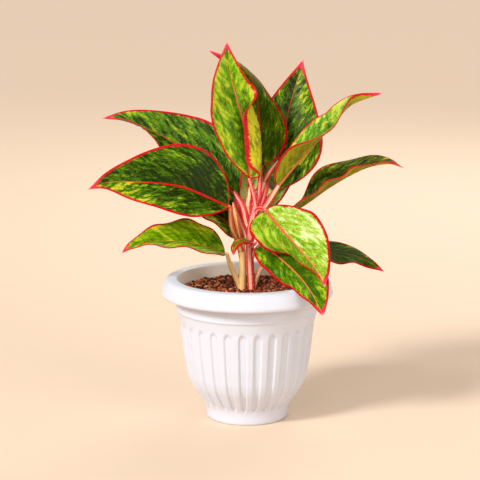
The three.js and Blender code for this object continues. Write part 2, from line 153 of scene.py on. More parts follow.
# name, place, aim, size and watts of each lamp
LAMPS = (
    ("front", (-350, -1000, 620), (0, 0, 200), 500, 1.9),
    ("fill", (1900, -1900, 1150), (0, 0, 160), 1400, 18.5),
    ("back", (500, 1300, 1300), (0, 0, 160), 1000, 9),
)

# ---- the leaves ----
# rib: the midrib from petiole to tip.  face: where the upper side looks.
# width: each half's width, left and right of the rib as seen from above with the tip ahead.
# ends: how each half fills out toward the base and narrows to the tip.
# wave: height, number and start of the waves in each margin.  lobe: how far each half reaches back.
# left, right: degrees that the half is raised off the blade's own plane, at the rib and at the margin.
# bend: where across a half its two angles meet, and over what share.
# face, left and right hold evenly spaced rows from base to tip, or one row for the whole length.
# PLAIN_LEAF is what a leaf has where it names nothing else.
PLAIN_LEAF = dict(lobe=(0, 0), bend=(0.5, 0.35), left=((20, 10),), right=((20, 10),))
LEAVES = {
    "leaf_left_upper": dict(
        rib=((-9, 16, 194), (-34, 28, 224), (-62, 33, 240), (-88, 29, 254), (-109, 22, 263),
             (-128, 16, 266)),
        face=((0.3, -0.8, 0.5), (0.1, -0.75, 0.65), (0.1, -0.6, 0.8)), width=(25, 30.5),
        ends=((0.38, 1.2), (0.7, 1.17)), wave=((1, 2, 0.1), (1, 2.5, 0.1)), lobe=(12, 0),
        left=((10, 10), (5, 0), (0, -10), (0, -12), (32, 28), (58, 58), (56, 56)),
        right=((66, 70), (36, 30), (25, 10), (22, 4), (20, 0)),
    ),
    "leaf_left_broad": dict(
        rib=((-17, -4, 190), (-38, -11, 201), (-55, -16, 209), (-74, -19, 213), (-97, -22, 215),
             (-120, -24, 215), (-138, -25, 209)),
        face=((0.1, -0.75, 0.66), (0, -0.75, 0.66), (0, -0.75, 0.66)), width=(32, 37),
        ends=((0.82, 1.32), (0.72, 1.4)), wave=((1.2, 2, 0.1), (0.8, 2.3, 0.4)),
        left=((34, 34), (18, 14), (16, 10), (14, 8), (28, 26)), right=((26, 26), (26, 20), (26, 26)),
    ),
    "leaf_left_lower": dict(
        rib=((-20, -2, 148), (-41, -10, 157), (-63, -14, 161), (-85, -16, 161), (-99, -16, 158),
             (-110, -15, 151)),
        face=((0, -0.5, 0.87),), width=(18, 22.5),
        ends=((0.6, 1.1), (0.6, 1.15)), wave=((2, 3.2, 0.95), (1.9, 3.4, 0.89)),
        left=((26, 10), (26, 20), (29, 20), (29, 20), (25, 20)), right=((21, 21),),
    ),
    "leaf_left_inner": dict(
        rib=((-10, 3, 161), (-15, 6, 171), (-30, 13, 181), (-46, 18, 184), (-71, 22, 185)),
        face=((0, -0.5, 0.87),), width=(12.5, 14),
        ends=((0.6, 1.15), (0.9, 1.15)), wave=((1.5, 3, 0.4), (1, 2, 0.4)), right=((20, 20),),
    ),
    "leaf_top_folded": dict(
        rib=((2, 1, 215), (-1, -1, 238), (-3, -3, 261), (-9, -5, 284), (-14, -7, 304), (-18, -6, 335)),
        face=((0, -1, 0.1),), width=(28, 29),
        ends=((1.05, 1.2), (0.4, 1.15)), wave=((0.6, 2, 0), (0.5, 3, 0)), bend=(0.48, 0.12),
        left=((34, 20), (34, 20), (30, 20), (34, 30), (34, 30)),
        right=((5, 60), (5, 165), (5, 168), (5, 165), (8, 130), (25, 15), (30, 25), (30, 25), (30, 25)),
    ),
    "leaf_top_rear": dict(
        rib=((12, 6, 225), (11, 12, 256), (8, 18, 287), (2, 20, 303), (-10, 21, 314), (-34, 20, 325)),
        face=((0, -1, 0.1),), width=(15, 29),
        ends=((0.6, 1.15), (0.6, 1)), wave=((0.8, 2, 0.3), (0.5, 2, 0.3)),
        left=((10, 0),),
        right=((-10, -10), (-20, -25), (-35, -45), (-62, -70), (-82, -85), (-82, -85), (-80, -80)),
    ),
    "leaf_top_right": dict(
        rib=((24, 26, 200), (28, 37, 226), (33, 45, 253), (40, 50, 280), (50, 55, 314)),
        face=((0, -1, 0.2),), width=(26, 37),
        ends=((0.6, 1.15), (0.75, 1.35)), wave=((1, 2, 0.3), (1, 2, 0.3)), right=((20, 5),),
    ),
    "leaf_right_arched": dict(
        rib=((28, -2, 209), (41, -5, 226), (51, -8, 238), (64, -12, 253), (75, -15, 264), (82, -17, 275),
             (93, -18, 284), (116, -18, 292)),
        face=((-0.76, -0.15, 0.65),), width=(16, 18),
        ends=((0.6, 1.1), (0.5, 1.1)), wave=((0.8, 2, 0.3), (0.8, 2, 0.6)),
        left=((60, 50),),
        right=((66, 72), (66, 72), (58, 62), (32, 30), (16, 14), (20, 20), (80, 80), (85, 85)),
    ),
    "leaf_right_long": dict(
        rib=((28, 8, 182), (47, 10, 188), (71, 13, 204), (91, 13, 216), (108, 10, 224), (125, 7, 227),
             (137, 4, 224)),
        face=((-0.35, 0, 0.93), (-0.35, 0, 0.93), (0.1, 0, 1)), width=(21, 20),
        ends=((2, 1.5), (0.6, 1.15)), wave=((2.6, 2.3, 0.35), (1.8, 4.2, 0.486)),
        left=((55, 48), (58, 52), (50, 44), (28, 20), (30, 24)), right=((24, 20),),
    ),
    "leaf_front_broad": dict(
        rib=((16, -12, 188), (32, -40, 174), (48, -62, 160), (59, -76, 148), (65, -83, 136)),
        face=((0.2, -0.9, 0.4),), width=(31, 23),
        ends=((0.6, 1), (0.35, 1.35)), wave=((1.2, 3, 0.3), (0.8, 2, 0.3)), lobe=(4, 3),
        left=((10, 0),),
        right=((-15, -25), (-10, -20), (0, -30), (-58, -88), (-68, -92), (-56, -84), (-56, -84), (-54, -76),
               (-44, -64)),
    ),
    "leaf_front_low": dict(
        rib=((13, -6, 156), (27, -27.5, 150), (43, -53, 140), (55, -69.5, 127), (64, -76, 109.5)),
        face=((0.1, -0.9, 0.4),), width=(28, 16),
        ends=((0.6, 0.9), (0.45, 0.95)), wave=((1.2, 2, 0.1), (1.8, 3.5, 0.1)), lobe=(2, 4),
        left=((10, 0),), right=((10, 0), (10, 0), (5, -10), (-10, -50), (-20, -50), (-15, -40), (-10, -30)),
    ),
    "leaf_right_low": dict(
        rib=((45, 8, 150), (61, 12, 148), (78, 15, 146), (94, 16, 143), (108, 14, 137), (122, 11, 129)),
        face=((0, -0.31, 0.95),), width=(18, 19),
        ends=((0.6, 1.15), (0.6, 1.15)), wave=((1, 2, 0.3), (1.5, 2.5, 0.6)),
        left=((0, 0),), right=((0, 0),),
    ),
    "leaf_small": dict(
        rib=((5, -9, 159), (-4, -14, 161), (-10, -19, 157), (-12, -24, 151)),
        face=((0, -0.5, 0.85),), width=(2.6, 4.8),
        ends=((0.6, 1.1), (0.9, 0.9)), wave=((0.6, 2, 0.3), (0.6, 2, 0.3)),
        left=((20, 0),), right=((10, 0),),
    ),
    "leaf_rear_left": dict(
        rib=((1, 16, 190), (1, 30, 208), (0, 50, 232), (-3, 72, 262)),
        face=((0, -0.9, 0.5),), width=(10, 14),
        ends=((0.35, 1.2), (1.1, 1.2)), wave=((1, 2, 0.1), (1, 2, 0.6)),
    ),
    "leaf_rear_right": dict(
        rib=((17, 13, 181), (25, 28, 195), (33, 48, 214), (40, 76, 244)),
        face=((0, -0.8, 0.6),), width=(9, 10),
        ends=((0.6, 1.2), (1.1, 1.2)), wave=((1, 2, 0.1), (1, 2, 0.6)),
    ),
}

# ---- colours, from 0 to 255 ----
CRIMSON = (208, 3, 32)
DEEP_RED = (158, 4, 14)
ROSE = (250, 70, 100)
PALE = (252, 170, 170)
RIB_TIP = (214, 120, 44)
POT_OUTSIDE = ((211, 214, 226), (216, 219, 230))
# painted light: the inside's colour, lighter and warmer than the outside, for daylight through the thin wall
POT_INSIDE_PAINTED_LIGHT = (255, 246, 234)
SOIL_TONES = ((26, 8, 3), (186, 86, 44), (255, 166, 104))
SOIL_DUST = (84, 40, 22)
# partly painted light: the rolled leaf's own peach is brightened close to white, for a leaf that stands in
# shade
YOUNG_TONES = ((255, 208, 156), (255, 170, 116))
# partly painted light: the left stalks' own cream is lifted close to white, so the shaded stalks look sunlit
STEM_LEFT = dict(low=(252, 216, 140), high=(252, 176, 116), edge=(196, 72, 30), blotch=(238, 164, 86))
STEM_RIGHT = dict(low=(250, 208, 160), high=(252, 144, 136), edge=(206, 8, 28), blotch=(252, 208, 184))
SHEEN_TINT = (1, 1, 0.7, 1)  # from 0 to 1

# ---- how each leaf looks ----
# deep, mid, light, gold: its greens, from the darkest to the palest flecks.
# mottle: how much of it is light.  to_tip, to_margin: how much more there.
# light, gold and mottle may each be a pair, for the left half and the right.
# band: how much darker it is along the side veins.
# margin: mm of crimson on the left and on the right, each one width or a row of them from base to tip.
# rib, rib_wide: the midrib's colour, and its half width in mm at the base.
# vein, veins: the side veins' colour, and how strongly it shows.
# quilt, pitch: how high the blade rises between its side veins, and how far these are apart, in mm.
# below, dull: the underside's colour, and how much darker its dull patches are.
# gloss: the shader's specular level.
COMMON = dict(
    deep=(16, 44, 0), mid=(66, 112, 2), light=(140, 172, 24), gold=(222, 190, 52),
    mottle=0.5, to_tip=0.1, to_margin=0.1, band=0.03,
    margin=(1.7, 1.7), rib=(214, 80, 44), rib_wide=1.3, vein=(150, 84, 20), veins=0.6,
    quilt=0.3, pitch=8.0, below=(112, 138, 18), dull=0.72, gloss=0.3,
)
LOOKS = {
    "leaf_left_upper": dict(
        deep=(20, 58, 0), mid=(78, 130, 6), light=(164, 190, 34), to_tip=0.06, to_margin=0.04,
        margin=(1.4, (1.8, 2.4, 3.0, 2.2, 1.8)), rib=(206, 84, 34), quilt=0.8, pitch=9.5, gloss=0.25,
    ),
    "leaf_left_broad": dict(
        deep=(20, 44, 0), mid=(62, 104, 2), mottle=(0.44, 0.24), to_tip=0.14,
        margin=(2.2, 2.4), rib=(210, 6, 18), rib_wide=1.8, vein=(150, 40, 12), veins=0.4, gloss=0.12,
    ),
    "leaf_left_lower": dict(
        deep=(58, 96, 2), mid=(112, 152, 6), light=(162, 182, 30), mottle=0.52,
        margin=(1.2, 1.8), rib=(186, 120, 40), rib_wide=1.0, quilt=0.12, gloss=0.05,
    ),
    "leaf_left_inner": dict(
        deep=(24, 48, 0), mottle=(0.62, 0.4), margin=(1.5, 1.4), rib=(190, 60, 40), gloss=0.03,
    ),
    "leaf_top_folded": dict(
        deep=(58, 104, 2), mid=(106, 156, 4), light=(162, 194, 30), gold=(206, 196, 44), mottle=0.58,
        to_tip=0.04, margin=(2.0, (3.4, 4.6, 4.0, 2.0, 1.8)), rib=(232, 88, 66), rib_wide=1.7,
        # partly painted light: the underside's own paler green brightened to a yellow, a painted glow of
        # light through the fold
        below=(190, 186, 30), dull=0.6, gloss=0.34,
    ),
    "leaf_top_rear": dict(
        deep=(34, 62, 0), mid=(70, 98, 2), light=(120, 132, 10), mottle=0.44,
        margin=(1.7, (2.6, 2.6, 3, 4, 5, 5, 5, 4)), rib=(150, 30, 20), vein=(120, 44, 12), gloss=0.03,
    ),
    "leaf_top_right": dict(
        mottle=(0.46, 0.5), to_tip=0.0, margin=(2.2, 2.4), rib=(160, 26, 20), quilt=0.14, gloss=0.22,
    ),
    "leaf_right_arched": dict(
        deep=(40, 86, 2), mid=(96, 150, 14), light=(164, 196, 56), mottle=0.55,
        # partly painted light: the underside's own paler green brightened to a yellow, a painted glow of
        # light through the blade
        margin=(1.3, 2.0), rib=(230, 130, 70), rib_wide=1.7, below=(156, 156, 22),
    ),
    "leaf_right_long": dict(
        deep=(26, 50, 0), mid=(66, 92, 2), light=(140, 150, 24), mottle=0.42,
        margin=(1.2, 1.5), rib=(206, 110, 50), below=(176, 158, 16), gloss=0.14,
    ),
    "leaf_front_broad": dict(
        # partly painted sheen: the left half's light and gold are whitish, the leaf's pale variegation with a
        # painted sheen laid over it
        deep=(84, 132, 8), mid=(150, 188, 40), light=((194, 220, 136), (178, 202, 46)),
        gold=((230, 234, 184), (226, 208, 88)), mottle=(0.68, 0.4), to_tip=-0.1,
        margin=((3.6, 3.4, 2.8, 2.8, 3.0), 2.6), rib=(228, 84, 72), rib_wide=1.4,
        vein=(236, 150, 70), veins=0.9, quilt=0.5, pitch=10.0, gloss=0.14,
    ),
    "leaf_front_low": dict(
        deep=(44, 84, 4), mid=(88, 134, 8), light=(146, 178, 28), mottle=(0.26, 0.38), to_tip=0.14,
        margin=(2.4, 2.2), rib=(226, 110, 60), rib_wide=1.0, quilt=0.15, gloss=0.06,
    ),
    "leaf_right_low": dict(
        deep=(26, 52, 0), mid=(56, 84, 1), light=(104, 120, 8), mottle=0.4,
        margin=(1.6, 1.8), rib=(110, 70, 10), rib_wide=0.9, veins=0.3, quilt=0.1, gloss=0.01,
    ),
    "leaf_small": dict(
        deep=(70, 84, 2), mid=(110, 116, 10), light=(160, 140, 30), mottle=0.45,
        margin=(2.6, 1.4), rib=(170, 90, 20),
    ),
    # painted light: this strip's greens are far paler than the leaf's own, a painted glow of light through
    # it, though it stands in shade
    "leaf_rear_left": dict(
        deep=(176, 214, 70), mid=(210, 236, 110), light=(236, 244, 160), mottle=0.6, margin=(1.8, 1.4),
    ),
    # painted light: this strip's greens are far paler than the leaf's own, a painted glow of light through
    # it, though it stands in shade
    "leaf_rear_right": dict(
        deep=(130, 172, 40), mid=(184, 210, 80), light=(234, 236, 150), mottle=0.6,
    ),
}

# Three speckles add up to the mottling. Each row: the spots' size along and across the blade in mm, and
# the noise's detail, roughness, twist and start.
BROAD = (14.0, 7.0, 2.0, 0.5, 0.8, 0.0)
STREAK = (7.0, 3.0, 4.0, 0.6, 1.2, 11.0)
FLECK = (1.6, 1.1, 2.0, 0.6, 0.4, 23.0)
BROAD_SHARE = 0.75
STREAK_SHARE = 0.5
FLECK_SHARE = 0.38
MOTTLE_SHARE = 0.5
MOTTLE_LEVEL = 1.125  # brings the sum to about 0 where deep green has turned to mid green
HALVES_APART = 37.0  # keeps the right half from mirroring the left
HALF_BLEND = (-1.0, 1.0)  # mm across the midrib, from the left half's look to the right's
VEIN_STRAY = 9.0  # mm over which a side vein wanders
# where on that sum one tone gives way to the next
TO_MID = (-0.16, 0.06)
TO_LIGHT = (0.03, 0.16)
TO_GOLD = (0.15, 0.2)
TO_DOTS = (-0.12, 0.02)
TO_BELOW = (-0.12, 0.12)
GOLD_STRENGTH = 0.8
DOTS_STRENGTH = 0.7
# from where to where along the leaf, as shares of its length
MORE_TO_TIP = (0.3, 0.95)
RIB_FADES = (0.5, 1.0)
ROSY_TIP = (0.86, 1.0)
PALE_TIP = (0.97, 1.0)
MORE_TO_MARGIN = (0.1, 0.9)  # the same from the rib to the margin
# which flecks and streaks are light dots, dark margin and gaps in the side veins
DOT_FLECKS = (0.62, 0.68)
DARK_FLECKS = (0.45, 0.62)
GAP_STREAKS = (0.35, 0.55)
VEIN_LINE = (0.96, 0.995)
VEIN_FADES = (1.0, 7.0)  # mm from the margin
RIB_TIP_HALF = 0.35  # mm
TIP_WIDER = 0.8  # by how much wider the crimson margin is at the tip
ROSE_STRENGTH = 0.6
PALE_STRENGTH = 0.8
RAGGED = 2.6  # how unevenly wide the crimson margin is
MARGIN_LEAST = 0.8  # mm
MARGIN_EDGE = (0.8, 1.1)  # where it ends, as shares of its width
WAXY = (0.26, 0.4)  # a leaf's roughness, from its darker patches to its lighter ones

# ---- the pot's profile, as radius and height ----
WALL_LINE = (
    (FOOT_RADIUS - 1.2, 0), (FOOT_RADIUS - 0.2, 0.9), (36.5, 5.5), (37.0, 9.2), (37.9, 12.2), (39.6, 15),
    (42.5, 19), (45.9, 24.2), (48.4, 28.1), (50.5, 31.8), (53.2, 39.2), (54.6, 46.7), (55.9, 54),
    (57.2, 65.1), (58.3, 74), (59.2, 82), (59.7, 87.2), (60.6, 91), (61.6, 95), (62.4, 97.6),
)
STEP_LINE = ((63.2, 98.1), (63.3, 98.8), (63.1, 100.2))
RIM_LINE = (
    (63.4, 104), (64.2, 112), (64.8, 119), (66.6, 122.2), (70, 120.8), (71.8, 116), (71.9, 113),
    (72.2, 111.5), (73.2, 110.7), (74.5, 110.9), (75.5, 111.8), (RIM_RADIUS, 113.4), (75.6, 115.5),
    (74.6, 119), (73.7, 121.8), (72.6, 124.2), (71, 125.8), (68.5, 126.4), (64.6, POT_HEIGHT),
    (63.1, 126.3), (62.4, 125.7), (62.2, 124.8),
)
INNER_LINE = (
    (61.2, 112), (60.0, 98), (57.3, 87), (55.3, 70), (52.6, 50), (48.1, 32), (43.5, 24), (37.2, 15),
    (34.6, 10), (34, 5), (33, FLOOR),
)
SOIL_LINE = (
    (33, FLOOR + GAP), (34.2, 10), (40, 20), (47.5, 32), (52.2, 50), (56.4, 80), (60, 104), (60.9, 111),
)


# ---- curves and surfaces ----
def smooth(x):
    """From 0 to 1, with soft ends."""
    t = np.clip(x, 0, 1)
    return t * t * (3 - 2 * t)


def between(a, b, c, d, t):
    """A Catmull-Rom curve's value between b and c."""
    return 0.5 * (2 * b + (c - a) * t + (2 * a - 5 * b + 4 * c - d) * t * t
                  + (3 * b - a - 3 * c + d) * t * t * t)


def with_ends(points):
    """The points and one more past each end, in line with the last two."""
    p = np.asarray(points, float)
    return np.vstack([2 * p[0] - p[1], p, 2 * p[-1] - p[-2]])


def spline(points):
    """The curve through the points: a function of the share of its length, and its length."""
    p = with_ends(points)
    t = np.linspace(0, 1, CURVE_STEPS, endpoint=False)[:, None]
    pieces = [between(p[i - 1], p[i], p[i + 1], p[i + 2], t) for i in range(1, len(p) - 2)]
    line = np.vstack([*pieces, p[-2:-1]])
    run = np.r_[0, np.cumsum(np.linalg.norm(np.diff(line, axis=0), axis=1))]

    def at(u):
        return np.stack([np.interp(np.asarray(u) * run[-1], run, line[:, k]) for k in range(3)], -1)

    return at, run[-1]


def ramp(rows, u):
    """Values between evenly spaced rows, on a curve through all of them."""
    if len(rows) == 1:
        rows = rows * 2
    last = len(rows) - 1
    p = with_ends(rows)
    x = np.asarray(u, float) * last
    i = np.clip(np.floor(x).astype(int), 0, last - 1)
    return between(p[i], p[i + 1], p[i + 2], p[i + 3], (x - i)[:, None])


def unit(v):
    return v / np.maximum(np.linalg.norm(v, axis=-1, keepdims=True), 1e-9)


def fill(u, base, tip):
    """One half blade's outline over the length."""
    widest = base / (base + tip)
    return (np.clip(u, 1e-6, 1) / widest) ** base * ((1 - u) / (1 - widest)) ** tip


def turns(count):
    """Evenly spaced angles, once round."""
    return np.linspace(0, 2 * np.pi, count, endpoint=False)


def level_ring(radius, angle, z):
    """Points round the pot's axis at one height."""
    return np.stack([radius * np.cos(angle), radius * np.sin(angle), np.full(len(angle), float(z))], -1)


# ---- meshes ----
def add_object(name, points, faces, material, values=None):
    """A mesh object. Each of the values becomes a point attribute that the material reads."""
    mesh = bpy.data.meshes.new(name)
    mesh.from_pydata((np.asarray(points) * MM).tolist(), [], faces)
    for key, data in (values or {}).items():
        data = np.asarray(data, np.float32)
        vector = data.ndim == 2
        attribute = mesh.attributes.new(key, "FLOAT_VECTOR" if vector else "FLOAT", "POINT")
        attribute.data.foreach_set("vector" if vector else "value", data.ravel())
    mesh.polygons.foreach_set("use_smooth", [True] * len(mesh.polygons))
    mesh.materials.append(material)
    return link(bpy.data.objects.new(name, mesh))


def link(made):
    bpy.context.scene.collection.objects.link(made)
    return made


def place(piece, slot, *nodes):
    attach(piece, "root")
    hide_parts(*nodes)


def ring_faces(rings, count):
    """Faces between rings of count points, each ring closed on itself."""
    faces = []
    for i in range(rings - 1):
        for k in range(count):
            a = i * count + k
            b = i * count + (k + 1) % count
            faces.append((a, b, b + count, a + count))
    return faces


def tube_faces(rings, count):
    """The same, with the first and the last ring filled."""
    ends = [tuple(reversed(range(count))), tuple(range((rings - 1) * count, rings * count))]
    return ring_faces(rings, count) + ends


class Pile:
    """Many small closed shapes gathered into one mesh."""

    def __init__(self):
        self.points = []
        self.faces = []
        self.values = {}
        self.count = 0

    def add(self, points, faces, **values):
        """Adds one shape. A value is one row for all its points, or a row for each of them."""
        self.points.append(points)
        self.faces.extend(tuple(k + self.count for k in face) for face in faces)
        for key, data in values.items():
            rows = np.broadcast_to(data, (len(points), *np.shape(data)[1:]))
            self.values.setdefault(key, []).append(rows)
        self.count += len(points)

    def object(self, name, material):
        values = {key: np.concatenate(data) for key, data in self.values.items()}
        return add_object(name, np.vstack(self.points), self.faces, material, values)


# ---- materials ----
def linear(colour):
    """A colour from 0 to 255, as the shader takes it."""
    parts = [c / 255 for c in colour]
    return (*[c / 12.92 if c <= 0.04045 else ((c + 0.055) / 1.055) ** 2.4 for c in parts], 1)


class Value:
    """What a node puts out. Arithmetic with it makes further nodes."""

    def __init__(self, paint, socket):
        self.paint = paint
        self.socket = socket

    def __add__(self, other):
        return self.paint.math("ADD", self, other)

    def __sub__(self, other):
        return self.paint.math("SUBTRACT", self, other)

    def __rsub__(self, other):
        return self.paint.math("SUBTRACT", other, self)

    def __mul__(self, other):
        return self.paint.math("MULTIPLY", self, other)

    def __truediv__(self, other):
        return self.paint.math("DIVIDE", self, other)

    def __pow__(self, other):
        return self.paint.math("POWER", self, other)

    def __abs__(self):
        return self.paint.math("ABSOLUTE", self)


class Paint:
    """A material and short names for the nodes that it is made of."""

    def __init__(self, name, roughness, specular, **sockets):
        self.material = bpy.data.materials.new(name)
        self.material.use_nodes = True
        self.tree = self.material.node_tree
        self.shader = self.tree.nodes["Principled BSDF"].inputs
        self.shader["Roughness"].default_value = roughness
        self.shader["Specular IOR Level"].default_value = specular
        for key, value in sockets.items():
            self.shader[key.replace("_", " ")].default_value = value

    def put(self, socket, value):
        """Links a node's value to a socket, or sets a plain number or colour on it."""
        if isinstance(value, Value):
            self.tree.links.new(value.socket, socket)
        else:
            socket.default_value = value

    def node(self, kind, output, inputs=(), **settings):
        """One output of a new node. Outputs and inputs go by name or number."""
        made = self.tree.nodes.new("ShaderNode" + kind)
        for key, value in settings.items():
            setattr(made, key, value)
        for key, value in dict(inputs).items():
            self.put(made.inputs[key], value)
        return Value(self, made.outputs[output])

    def math(self, operation, *values):
        return self.node("Math", 0, enumerate(values), operation=operation)

    def step(self, value, low, high, to_low=0.0, to_high=1.0):
        """Goes smoothly from to_low to to_high as the value goes from low to high."""
        inputs = {"Value": value, "From Min": low, "From Max": high, "To Min": to_low, "To Max": to_high}
        return self.node("MapRange", "Result", inputs, interpolation_type="SMOOTHSTEP")

    def mix(self, share, a, b):
        """Colour a where the share is 0, and colour b where it is 1."""
        a, b = (colour if isinstance(colour, Value) else linear(colour) for colour in (a, b))
        return self.node("Mix", 2, {0: share, 6: a, 7: b}, data_type="RGBA")

    def vector(self, *parts):
        return self.node("CombineXYZ", 0, enumerate(parts))

    def split(self, vector):
        return [self.node("SeparateXYZ", axis, {0: vector}) for axis in range(3)]

    def noise(self, vector, scale=1.0, detail=3.0, rough=0.55, twist=0.0):
        inputs = {"Vector": vector, "Scale": scale, "Detail": detail, "Roughness": rough, "Distortion": twist}
        return self.node("TexNoise", "Fac", inputs)

    def attribute(self, name, output="Fac"):
        return self.node("Attribute", output, attribute_name=name)

    def here(self):
        """Each point's place, in metres."""
        return self.node("TexCoord", "Object")

    def bump(self, height, distance, strength):
        """Fine relief, with the distance in mm."""
        inputs = {"Height": height, "Distance": distance * MM, "Strength": strength}
        self.put(self.shader["Normal"], self.node("Bump", "Normal", inputs))

    def roughness(self, value):
        self.put(self.shader["Roughness"], value)

    def colour(self, value):
        self.put(self.shader["Base Color"], value)
        return self.material


class LeafPaint(Paint):
    """A blade's paint, drawn by where each point lies on it, as the mesh's attributes tell."""

    def __init__(self, name, look, seed):
        super().__init__(name, roughness=0.36, specular=look["gloss"], Specular_Tint=SHEEN_TINT)
        self.look = look
        self.along, self.across, self.edge = self.split(self.attribute("leaf", "Vector"))
        self.reach = self.attribute("reach")
        self.under = self.attribute("under")
        self.aside = abs(self.across)
        self.start = self.math("SIGN", self.across) * HALVES_APART + float(seed)
        # where the side vein that passes here leaves the midrib
        self.vein = self.along + self.aside ** VEIN_SWEEP * -VEIN_REACH
        self.broad = self.speckle(*BROAD)
        self.streak = self.speckle(*STREAK)
        self.fleck = self.speckle(*FLECK)
        # 1 on the side veins and -1 halfway between them
        turn = (self.vein + (self.broad - 0.5) * VEIN_STRAY) * (2 * math.pi / look["pitch"])
        self.wave = self.math("COSINE", turn)

    def speckle(self, lengthwise, crosswise, detail, rough, twist, start):
        """Noise that is drawn out along the side veins."""
        spot = self.vector(self.vein * (1 / lengthwise), self.aside * (1 / crosswise), self.start + start)
        return self.noise(spot, detail=detail, rough=rough, twist=twist)

    def by_half(self, colours):
        """One colour, or the left half's and the right half's."""
        if isinstance(colours[0], tuple):
            return self.mix(self.step(self.across, *HALF_BLEND), *colours)
        return colours

    def mottling(self):
        """How light each point is: the speckles' sum, with more toward the margins and the tip."""
        look = self.look
        share = self.aside / self.math("MAXIMUM", self.aside + self.edge, 0.5)
        zone = self.step(share, *MORE_TO_MARGIN) * look["to_margin"]
        zone = zone + self.step(self.reach, *MORE_TO_TIP) * look["to_tip"]
        levels = MOTTLE_SHARE * np.broadcast_to(look["mottle"], 2) - MOTTLE_LEVEL
        amount = self.broad * BROAD_SHARE + self.streak * STREAK_SHARE + self.fleck * FLECK_SHARE
        amount = amount + zone + self.step(self.across, *HALF_BLEND, *levels)
        return amount - self.wave * look["band"]

    def greens(self, amount):
        look = self.look
        light = self.by_half(look["light"])
        colour = self.mix(self.step(amount, *TO_MID), look["deep"], look["mid"])
        colour = self.mix(self.step(amount, *TO_LIGHT), colour, light)
        colour = self.mix(self.step(amount, *TO_GOLD) * GOLD_STRENGTH, colour, self.by_half(look["gold"]))
        dots = self.step(self.fleck, *DOT_FLECKS) * self.step(amount, *TO_DOTS)
        return self.mix(dots * DOTS_STRENGTH, colour, light)

    def vein_lines(self):
        """Thin broken lines on the side veins, which fade toward the margin."""
        line = self.step(self.wave, *VEIN_LINE) * self.step(self.edge, *VEIN_FADES)
        return line * self.step(self.streak, *GAP_STREAKS)

    def underside(self, amount):
        below = self.look["below"]
        dull = [self.look["dull"] * c for c in below]
        return self.mix(self.step(amount, *TO_BELOW), dull, below)

    def with_midrib(self, colour):
        half = self.step(self.reach, 0.0, 1.0, self.look["rib_wide"], RIB_TIP_HALF)
        rib = 1.0 - self.step(self.aside, half * 0.5, half)
        tone = self.mix(self.step(self.reach, *RIB_FADES), self.look["rib"], RIB_TIP)
        return self.mix(rib, colour, tone)

    def with_margin(self, colour):
        """The crimson margin: it has a ragged inner edge, and is wider and rosy toward the tip."""
        run = self.noise(self.vector(self.along * 0.3, 0.0, self.start), detail=4.0, rough=0.7)
        tip = self.step(self.reach, *ROSY_TIP)
        wide = self.attribute("rim") * ((run - 0.5) * RAGGED + 1.0 + tip * TIP_WIDER)
        wide = self.math("MAXIMUM", wide + (self.fleck - 0.5) * RAGGED, MARGIN_LEAST)
        full, none = MARGIN_EDGE
        margin = 1.0 - self.step(self.edge, wide * full, wide * none)
        hue = self.mix(self.step(self.fleck, *DARK_FLECKS), CRIMSON, DEEP_RED)
        hue = self.mix(tip * ROSE_STRENGTH, hue, ROSE)
        hue = self.mix(self.step(self.reach, *PALE_TIP) * PALE_STRENGTH, hue, PALE)
        return self.mix(margin, colour, hue)


def leaf_paint(name, look, seed):
    p = LeafPaint(name, look, seed)
    amount = p.mottling()
    line = p.vein_lines()
    colour = p.mix(line * look["veins"], p.greens(amount), look["vein"])
    colour = p.mix(p.under, colour, p.underside(amount))
    colour = p.with_margin(p.with_midrib(colour))
    p.bump(p.fleck * 0.3 - line * 0.5, distance=0.4, strength=0.5)
    p.roughness(p.step(p.broad, 0.35, 0.65, *WAXY) + p.under * 0.3)
    return p.colour(colour)


def pot_paint():
    p = Paint("pot_plastic", roughness=0.34, specular=0.5)
    cloud = p.noise(p.here(), scale=9.0, detail=2.0)
    p.bump(p.noise(p.here(), scale=900.0), distance=0.08, strength=0.35)
    p.roughness(p.step(cloud, 0.3, 0.7, to_low=0.3, to_high=0.4))
    outside = p.mix(cloud, *POT_OUTSIDE)
    # painted light: the inside is painted lighter and warmer than the outside, for daylight through the thin
    # wall
    return p.colour(p.mix(p.attribute("inside"), outside, POT_INSIDE_PAINTED_LIGHT))


def soil_paint():
    p = Paint("soil", roughness=0.85, specular=0.25)
    tone = p.attribute("tone")
    fine = p.noise(p.here(), scale=1400.0, detail=4.0, rough=0.65)
    dark, middle, light = SOIL_TONES
    colour = p.mix(p.step(tone, 0.0, 0.6), dark, middle)
    colour = p.mix(p.step(tone, 0.6, 1.0), colour, light)
    p.bump(fine, distance=0.6, strength=0.8)
    return p.colour(p.mix(fine * 0.45, colour, SOIL_DUST))


